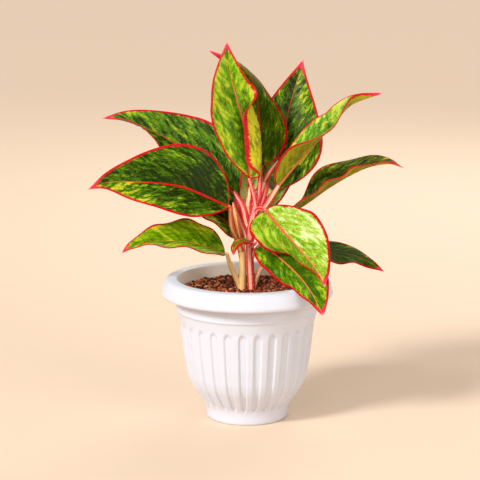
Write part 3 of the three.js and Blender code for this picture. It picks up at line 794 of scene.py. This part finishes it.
def stem_paint(name, low, high, edge, blotch):
    """Stalks: one colour low down, another high up, blotches, and coloured threads and ridges along them."""
    p = Paint(name, roughness=0.4, specular=0.4, Coat_Weight=0.1)
    rise = p.attribute("rise")
    run, turn, _ = p.split(p.attribute("skin", "Vector"))

    def streaks(lengthwise, crosswise, start, detail, rough):
        """Noise that is drawn out along the stalk."""
        return p.noise(p.vector(run * lengthwise, turn * crosswise, start), detail=detail, rough=rough)

    grain = streaks(0.07, 0.7, rise, detail=4.0, rough=0.6)
    fine = streaks(0.4, 2.2, 0.0, detail=3.0, rough=0.6)
    thread = streaks(0.03, 1.3, 7.0, detail=2.0, rough=0.5)
    lift = rise + (grain - 0.5) * 0.8
    colour = p.mix(p.step(lift, 0.05, 0.85), low, high)
    colour = p.mix(p.step(grain, 0.5, 0.66) * 0.7, colour, blotch)
    colour = p.mix(p.step(thread, 0.54, 0.62) * 0.45, colour, edge)
    # deep red toward the leaves; on one sheath it is partly painted shade among the petioles
    colour = p.mix(p.step(rise, 1.0, 2.0), colour, DEEP_RED)
    ridge = p.step(p.attribute("ridge"), 0.12, 0.5) * p.step(fine, 0.25, 0.5)
    p.bump(fine, distance=0.3, strength=0.5)
    return p.colour(p.mix(ridge, colour, edge))


def young_paint():
    p = Paint("young_leaf", roughness=0.4, specular=0.45)
    # the tones are partly painted light, brightened for a leaf in shade
    colour = p.mix(p.noise(p.here(), scale=220.0), *YOUNG_TONES)
    return p.colour(p.mix(p.attribute("ridge"), colour, CRIMSON))


# ---- the pot ----
def smooth_line(points, steps):
    line, _ = spline([(r, z, 0) for r, z in points])
    return line(np.linspace(0, 1, steps))[:, :2]


def flute_cut(z, phase):
    """How deep the flutes go into the wall at one height, where the phase is 0 in the middle of each."""
    if not FLUTE_LOW < z < FLUTE_HIGH:
        return 0
    # round ends: the flute narrows over its last few millimetres
    high = max(0, 1 - (FLUTE_HIGH - z) / FLUTE_HIGH_END)
    low = max(0, 1 - (z - FLUTE_LOW) / FLUTE_LOW_END)
    half = FLUTE_SHARE * math.sqrt(1 - max(high, low) ** 2)
    return FLUTE_DEPTH * smooth((half - np.abs(phase)) / FLUTE_SLOPE)


def pot():
    wall = smooth_line(WALL_LINE, WALL_STEPS)
    inner = smooth_line(INNER_LINE, INNER_STEPS)
    line = np.vstack([wall, STEP_LINE, smooth_line(RIM_LINE, RIM_STEPS), inner])
    columns = FLUTES * FLUTE_COLUMNS
    angle = turns(columns)
    phase = ((angle - math.radians(FLUTE_TURN)) * FLUTES / (2 * np.pi) + 0.5) % 1 - 0.5
    rings = []
    for i, (r, z) in enumerate(line):
        cut = flute_cut(z, phase) if i < len(wall) else 0
        rings.append(level_ring(r - cut, angle, z))
    # the inside starts with the last two rings of the rim
    inside = np.arange(len(line)) >= len(line) - len(inner) - 2
    piece = add_object("pot_body", np.vstack(rings), tube_faces(len(line), columns), pot_paint(),
                       {"inside": np.repeat(inside, columns)})
    place(piece, "pot_plastic", "pot")


# ---- the soil ----
CLOD_CORNERS = ((1, 0, 0), (-1, 0, 0), (0, 1, 0), (0, -1, 0), (0, 0, 1), (0, 0, -1))
CLOD_FACES = ((0, 2, 4), (2, 1, 4), (1, 3, 4), (3, 0, 4), (2, 0, 5), (1, 2, 5), (3, 1, 5), (0, 3, 5))


def lump(random, size):
    """A rough little clod: a stretched octahedron with its edges split once."""
    points = list(np.array(CLOD_CORNERS, float))
    middle = {}
    split = []
    for face in CLOD_FACES:
        mids = []
        for a, b in zip(face, face[1:] + face[:1]):
            key = (min(a, b), max(a, b))
            if key not in middle:
                middle[key] = len(points)
                points.append(unit(points[a] + points[b]))
            mids.append(middle[key])
        for k in range(3):
            split.append((face[k], mids[k], mids[k - 1]))
        split.append(tuple(mids))
    points = np.array(points) * (1 + random.uniform(-CRUMB_ROUGH, CRUMB_ROUGH, (len(points), 1)))
    stretch = size * random.uniform(*CRUMB_STRETCH, 3)
    turn = np.linalg.qr(random.normal(size=(3, 3)))[0]
    if np.linalg.det(turn) < 0:
        turn[:, 0] *= -1
    return (points * stretch) @ turn, split


def strand(random, start, length, thick):
    """A short curled fibre."""
    heading = random.uniform(0, 2 * np.pi)
    rows = [start]
    for _ in range(FIBRE_BENDS):
        heading += random.uniform(-FIBRE_CURL, FIBRE_CURL)
        step = np.array([math.cos(heading), math.sin(heading), random.uniform(*FIBRE_CLIMB)])
        rows.append(rows[-1] + step * length / FIBRE_BENDS)
    return tube(rows, [thick, thick, thick * FIBRE_TAPER], FIBRE_SIDES, FIBRE_STEPS)


def spot(random, reach):
    """A random place within reach of the pot's axis."""
    r = reach * math.sqrt(random.uniform(0, 1))
    a = random.uniform(0, 2 * np.pi)
    return r * math.cos(a), r * math.sin(a)


def soil():
    random = np.random.default_rng(SEED)
    angle = turns(SOIL_COLUMNS)
    rings = [level_ring(r, angle, z) for r, z in SOIL_LINE]
    for r in np.linspace(SOIL_RADIUS, SOIL_MIDDLE, SOIL_RINGS):
        ring = level_ring(r, angle, SOIL_TOP)
        x, y = ring[:, 0], ring[:, 1]
        humps = 0.9 * np.sin(x * 0.23 + 1.3) * np.cos(y * 0.19) + 0.5 * np.sin(x * 0.6 + y * 0.47)
        ring[:, 2] += humps + random.uniform(-SOIL_GRAIN, SOIL_GRAIN, SOIL_COLUMNS)
        rings.append(ring)
    pile = Pile()
    # the bed's near-darkest tone is partly painted shade in the gaps between the crumbs
    pile.add(np.vstack(rings), tube_faces(len(rings), SOIL_COLUMNS), tone=[SOIL_TONE])
    for _ in range(CRUMBS):
        x, y = spot(random, CRUMB_REACH)
        points, split = lump(random, CRUMB_SMALL + CRUMB_MORE * random.uniform(0, 1) ** CRUMB_SMALLISH)
        points = points + (x, y, SOIL_TOP + random.uniform(*CRUMB_RISE))
        pile.add(points, split, tone=[random.uniform(0, 1) ** CRUMB_DARKISH])
    for _ in range(FIBRES):
        x, y = spot(random, FIBRE_REACH)
        start = np.array([x, y, SOIL_TOP + random.uniform(*FIBRE_RISE)])
        points, split = strand(random, start, random.uniform(*FIBRE_LENGTH), random.uniform(*FIBRE_THICK))
        pile.add(points, split, tone=[random.uniform(*FIBRE_TONE)])
    place(pile.object("soil_bed", soil_paint()), "soil", "soil")


# ---- shoots and petioles ----
def frames_along(at, steps):
    """Places on a path, and two directions square to it that don't twist along it."""
    u = np.linspace(0, 1, steps + 1)
    places = at(u)
    ahead = unit(np.gradient(places, axis=0))
    side = unit(np.cross(ahead[0], (0.3, 1, 0.2)))
    sides = []
    for direction in ahead:
        side = unit(side - direction * np.dot(side, direction))
        sides.append(side)
    sides = np.array(sides)
    return u, places, sides, np.cross(ahead, sides)


def outward(first, second, angle):
    """Directions out from each place on a path, all round it."""
    return np.cos(angle)[None, :, None] * first[:, None] + np.sin(angle)[None, :, None] * second[:, None]


def radius_along(radii, u):
    return ramp([(r,) for r in radii], u)[:, 0]


def tube(path, radii, sides, steps):
    """A round closed tube along a path."""
    at, _ = spline(path)
    u, places, first, second = frames_along(at, steps)
    radius = radius_along(radii, u)[:, None, None]
    points = places[:, None] + outward(first, second, turns(sides)) * radius
    return points.reshape(-1, 3), tube_faces(steps + 1, sides)


def stalk(pile, path, radii, wing, rise):
    """A stalk with two soft ridges along it, the edges of the sheath that it grew from."""
    at, length = spline(path)
    u, places, first, second = frames_along(at, STALK_STEPS)
    radius = radius_along(radii, u)[:, None]
    angle = turns(STALK_SIDES)
    turn = np.radians(RIDGE_TURN)
    ridge = np.maximum(np.cos(angle - turn - RIDGE_APART), np.cos(angle - turn + RIDGE_APART))
    ridge = smooth((ridge - RIDGE_FROM) / (1 - RIDGE_FROM))
    grow = wing * (1 - RIDGE_FADE * smooth((u - RIDGE_FADE_FROM) / RIDGE_FADE_OVER))
    ridge = grow[:, None] * ridge[None, :]
    out = radius * (1 + ridge * RIDGE_HEIGHT)
    points = places[:, None] + outward(first, second, angle) * out[..., None]
    low, high = rise
    run = np.repeat(u * length, STALK_SIDES)
    around = (radius * np.abs(angle - np.pi)).ravel()
    pile.add(points.reshape(-1, 3), tube_faces(STALK_STEPS + 1, STALK_SIDES),
             rise=np.repeat(low + (high - low) * u, STALK_SIDES),
             ridge=ridge.ravel(),
             skin=np.stack([run, around, np.zeros_like(run)], -1))


def root(place_xy):
    """A shoot's foot, upright in the soil."""
    x, y = place_xy
    return [(x, y, SOIL_TOP - SHOOT_DEPTH), (x, y, SOIL_TOP - SHOOT_NECK)]


def seat(name):
    """Where a petiole stops: just short of its blade, on the line of the midrib."""
    at, _ = spline(LEAVES[name]["rib"])
    start, ahead = at([0, 0.01])
    heading = unit(ahead - start)
    return [tuple(start - SEAT_REACH * heading), tuple(start - SEAT_GAP * heading)]


# Each row: path, radii along it, how strong its coloured ridges are, its colour from start to end,
# and its leaf. Colour 0 is the low one, 1 the high one and 2 deep red.
LEFT_STALKS = (
    ([*root(SHOOT_LEFT), (-4, 0, 133), (-4.5, 0, 151), (-6, -1, 162)],
     (3.4, 3.2, 3, 2.8), 0.3, (0, 0.5), None),
    ([(-4.8, 0.5, 110), (-6.3, 1, 117), (-12.3, 0, 131), (-16, 0, 140)],
     (2.6, 2.4, 2.2, 1.4), 0.1, (0, 0.1), "leaf_left_lower"),
    ([(-5, 0, 150), (-8.5, -1.5, 161), (-13.5, -3.5, 173)],
     (2.8, 2.3, 1.8), 1, (0.1, 1.6), "leaf_left_broad"),
    ([(-4.5, 0, 144), (-6.5, 1, 151)], (2.4, 1.8, 1.5), 0.8, (0.4, 0.9), "leaf_left_inner"),
    ([(-5, 0, 154), (-6.6, -1.5, 164), (-8.6, -2.8, 174), (-10.5, -2.8, 184), (-12.6, -2, 194)],
     (2.4, 2.4, 2.5, 2.4, 0.6), 1, (0, 0.8), None),
)
RIGHT_STALKS = (
    ([*root(SHOOT_RIGHT), (3, 0, 134), (2.5, 0, 150), (3, 0, 166), (5, 0, 179), (8, 0, 190)],
     (3.4, 3.2, 3.1, 3.6, 3.4), 1, (0.1, 1), None),
    ([(2, 1, 164), (0, 4, 175), (-4, 9, 184)], (2.8, 2.6, 2.1), 1, (0.5, 1), "leaf_left_upper"),
    ([(1, 0, 156), (-1.5, 0.5, 165), (-5, 1, 174), (-8, 1, 183)], (2.4, 2.3, 0.6), 1, (0, 0.3), None),
    # partly painted shade: this sheath is deep red along its length, its own red and the shade among the
    # petioles
    ([(0, 3, 172), (-5, 5, 182), (-8.5, 6, 190), (-11.5, 7, 198)],
     (2, 2.8, 2.8, 1.2), 1, (1.4, 1.8), None),
    ([(2, 0.5, 168), (-1, 1, 178), (-2.6, 1.5, 186), (-4.8, 2, 192), (-9, 3, 198.5), (-12, 4, 203)],
     (2, 2.7, 2.7, 2.5, 1.9, 1), 1, (-0.4, 1.5), None),
    ([(3.5, 2, 170), (2, 3, 180), (1, 3.5, 190), (2.2, 4, 198), (2, 4, 207)],
     (2.4, 2.8, 3.1, 2.6, 0.6), 1, (0, 0), None),
    ([(9, 2, 184), (13.5, 4, 194), (17, 5.5, 205), (18.5, 6, 213)], (2.2, 2, 1.6, 0.7), 1, (1, 2), None),
    ([(8, 0, 188), (6, 0, 200)], (2.6, 2, 1.6), 1, (0.6, 1), "leaf_top_folded"),
    ([(8, 1, 186), (10, 3, 198)], (2.4, 2, 1.6), 1, (0.7, 1), "leaf_top_rear"),
    ([(8, 1, 182), (13, 7, 190)], (2.4, 2, 1.6), 1, (0.6, 1), "leaf_top_right"),
    ([(8, 0, 182), (16, 0, 190)], (2.4, 2.2, 1.6), 0.6, (0.1, 0.4), "leaf_right_arched"),
    ([(6, 0, 176), (14, 4, 181)], (2.4, 2, 1.6), 0.8, (0.4, 0.8), "leaf_right_long"),
    ([(7, 0, 182), (10, -4.5, 188.5)], (2.4, 2, 1.7), 0.8, (0.5, 1), "leaf_front_broad"),
    ([(2.5, 0, 138), (6, -2, 149)], (2, 1.8, 1.6), 0.4, (0, 0.4), "leaf_front_low"),
    ([(4.2, 0.5, 110), (6, 1, 120), (12, 3, 133), (25, 6, 147)],
     (2.5, 2.3, 2, 1.6), 0.1, (0, 0), "leaf_right_low"),
    ([(2.5, 0, 152), (3.5, -3.5, 155)], (2, 1.6, 1.2), 0.6, (0.6, 0.9), "leaf_small"),
    ([(4, 1, 170), (2.5, 6, 179)], (2.2, 1.8, 1.4), 0.8, (0.4, 0.9), "leaf_rear_left"),
    ([(6, 1, 174), (11, 8, 182)], (2.2, 1.8, 1.4), 0.8, (0.4, 0.9), "leaf_rear_right"),
    ([(8, 2, 188), (12, 6, 202), (15, 8, 210)], (2.2, 2.4, 2), 0.6, (0.1, 0.2), None),
)
ROLLED_PATH = ((15.3, 8.2, 210.8), (17, 9, 214), (20.5, 10, 220), (27, 11, 229))
ROLLED_RADII = (1.3, 2.1, 1.8, 0.4)
ROLLED_WING = 1.6


def shoot(name, node, stalks, material):
    pile = Pile()
    for path, radii, wing, rise, leaf in stalks:
        stalk(pile, [*path, *seat(leaf)] if leaf else path, radii, wing, rise)
    place(pile.object(name, material), "stem", node)


def rolled_leaf():
    pile = Pile()
    stalk(pile, ROLLED_PATH, ROLLED_RADII, ROLLED_WING, (0, 1))
    place(pile.object("young_leaf_rolled", young_paint()), "young_leaf", "leaf_rolled")


# ---- the blades ----
def half_profile(angles, bend, share):
    """One half's cross sections, 1 mm wide: how far out and how far up the points at each share lie."""
    bend_at, bend_over = bend
    fine = np.linspace(0, 1, PROFILE_STEPS + 1)
    middle = (fine[1:] + fine[:-1]) / 2
    blend = smooth((middle - bend_at + bend_over) / (2 * bend_over))
    theta = angles[:, :1] + (angles[:, 1:] - angles[:, :1]) * blend[None]

    def gathered(parts):
        run = np.pad(np.cumsum(parts, 1), ((0, 0), (1, 0))) / PROFILE_STEPS
        return np.array([np.interp(share, fine, row) for row in run])

    return gathered(np.cos(theta)), gathered(np.sin(theta))


def joined(left, right):
    """Both halves side by side, from the left margin to the right one."""
    return np.concatenate([left[:, ::-1], right[:, 1:]], 1)


def blade_sheet(leaf):
    """The middle of a blade: its points, each one's distance along the rib, across from it and from the
    margin, and each row's share of the length."""
    even = np.linspace(0, 1, ALONG + 1)
    u = 0.5 * (1 - np.cos(np.pi * even)) / 2 + 0.5 * even
    at, length = spline(leaf["rib"])
    centre = at(u)
    ahead = unit(at(np.clip(u + 0.01, 0, 1)) - at(np.clip(u - 0.01, 0, 1)))
    up = ramp(leaf["face"], u)
    up = unit(up - ahead * (up * ahead).sum(-1, keepdims=True))
    out = np.cross(ahead, up)
    # columns stand closer together toward the margin
    share = 1 - (1 - np.linspace(0, 1, ACROSS + 1)) ** EDGE_CROWD
    points, across, edge = [], [], []
    for k, (side, rows) in enumerate(((-1, leaf["left"]), (1, leaf["right"]))):
        half = fill(u, *leaf["ends"][k]) * leaf["width"][k] + BASE_HALF * (1 - u) + TIP_HALF * u
        half = half[:, None]
        sideways, upward = half_profile(np.radians(ramp(rows, u)), leaf["bend"], share)
        height, count, start = leaf["wave"][k]
        wave = height * np.sin(2 * np.pi * (count * u + start)) * np.sin(np.pi * u) ** WAVE_CALM
        upward = upward * half + wave[:, None] * share ** 2
        back = leaf["lobe"][k] * (1 - u) ** LOBE_CALM * np.minimum(1, u / LOBE_START)
        points.append(centre[:, None] + out[:, None] * (sideways * side * half)[..., None]
                      + up[:, None] * upward[..., None]
                      - ahead[:, None] * (back[:, None] * share)[..., None])
        across.append(side * half * share)
        edge.append(half * (1 - share))
    points = joined(*points)
    along = np.repeat((u * length)[:, None], points.shape[1], 1)
    return points, along, joined(*across), joined(*edge), u


def widths_along(width, u):
    """One width, or a row of them from base to tip, as a column over the length."""
    row = np.atleast_1d(np.asarray(width, float))
    return np.interp(u, np.linspace(0, 1, len(row)), row)[:, None]


def both_sides(values):
    """A value for the upper side's points and again for the underside's, in the order of the mesh."""
    return np.concatenate([values, values[:, ::-1]], 1).ravel()


def blade(node, seed):
    look = {**COMMON, **LOOKS[node]}
    points, along, across, edge, u = blade_sheet({**PLAIN_LEAF, **LEAVES[node]})
    normal = unit(np.cross(np.gradient(points, axis=1), np.gradient(points, axis=0)))
    rows, columns = across.shape
    aside = np.abs(across)
    # the blade is quilted a little between its side veins
    vein = along - VEIN_REACH * aside ** VEIN_SWEEP
    near_margin, near_rib, near_tip = QUILT_CALM
    calm = smooth(edge / near_margin) * smooth(aside / near_rib) * smooth((1 - u) / near_tip)[:, None]
    quilt = -look["quilt"] * np.cos(2 * np.pi * vein / look["pitch"]) * calm
    middle = points + normal * quilt[..., None]
    half_thick = BLADE_THICK / 2 * np.sqrt(np.clip(edge / EDGE_ROUND, EDGE_LEAST, 1))
    taper = (1 - u)[:, None]
    groove = GROOVE_DEPTH * taper * np.exp(-((across / GROOVE_HALF) ** 2))
    bulge = RIB_THICK * taper * np.exp(-((across / RIB_HALF) ** 2))
    top = middle + normal * (half_thick - groove)[..., None]
    low = middle - normal * (half_thick + bulge)[..., None]
    ring = np.concatenate([top, low[:, ::-1]], 1)
    count = ring.shape[1]
    faces = ring_faces(rows, count)
    last = (rows - 1) * count
    for j in range(columns - 1):
        faces.append((j + 1, j, count - 1 - j, count - 2 - j))
        faces.append((last + j, last + j + 1, last + count - 2 - j, last + count - 1 - j))
    left_rim, right_rim = (widths_along(width, u) for width in look["margin"])
    values = {
        "leaf": np.stack([both_sides(along), both_sides(across), both_sides(edge)], -1),
        "reach": both_sides(np.repeat(u[:, None], columns, 1)),
        "under": np.concatenate([np.zeros_like(across), np.ones_like(across)], 1).ravel(),
        "rim": both_sides(np.where(across < 0, left_rim, right_rim)),
    }
    name = node.replace("leaf_", "blade_")
    piece = add_object(name, ring.reshape(-1, 3), faces, leaf_paint(name, look, seed), values)
    place(piece, "leaf", node)


# ---- stage, light and camera ----
def stage():
    corners = [(x * FLOOR_HALF, y * FLOOR_HALF, 0) for x, y in ((-1, -1), (1, -1), (1, 1), (-1, 1))]
    p = Paint("floor", roughness=0.8, specular=0.0)
    floor = add_object("floor", corners, [(0, 1, 2, 3)], p.colour(linear(FLOOR_COLOUR)))


def facing(direction):
    """The turn of a lamp that shines in a direction."""
    return direction.to_track_quat("-Z", "Y").to_euler()


def lights():
    data = bpy.data.lights.new("key", "SUN")
    data.energy = SUN_POWER
    data.angle = math.radians(SUN_SPREAD)
    sun = link(bpy.data.objects.new("key", data))
    sun.rotation_euler = facing(-Vector(SUN_FROM))
    for name, place_mm, aim, size, watts in LAMPS:
        data = bpy.data.lights.new(name, "AREA")
        data.size = size * MM
        data.energy = watts
        lamp = link(bpy.data.objects.new(name, data))
        lamp.location = Vector(place_mm) * MM
        lamp.rotation_euler = facing(Vector(aim) - Vector(place_mm))
    world = bpy.data.worlds.new("room")
    world.use_nodes = True
    room = world.node_tree.nodes["Background"]
    room.inputs["Color"].default_value = ROOM_COLOUR
    room.inputs["Strength"].default_value = ROOM_STRENGTH
    bpy.context.scene.world = world


def camera():
    data = bpy.data.cameras.new("camera")
    data.sensor_width = CAMERA_SENSOR
    data.lens = CAMERA_LENS
    data.clip_end = CAMERA_REACH
    made = link(bpy.data.objects.new("camera", data))
    made.location = [c * MM for c in CAMERA_PLACE]
    made.rotation_euler = (math.radians(90 - CAMERA_DOWN), 0, math.radians(CAMERA_LEFT))
    bpy.context.scene.camera = made


pot()
soil()
shoot("shoot_left_stalks", "shoot_left", LEFT_STALKS, stem_paint("stem_left", **STEM_LEFT))
shoot("shoot_right_stalks", "shoot_right", RIGHT_STALKS, stem_paint("stem_right", **STEM_RIGHT))
for number, leaf_node in enumerate(LEAVES):
    blade(leaf_node, LEAF_SEED + LEAF_SEED_STEP * number)
rolled_leaf()
stage()
lights()
camera()
bpy.context.scene.view_settings.view_transform = "Standard"
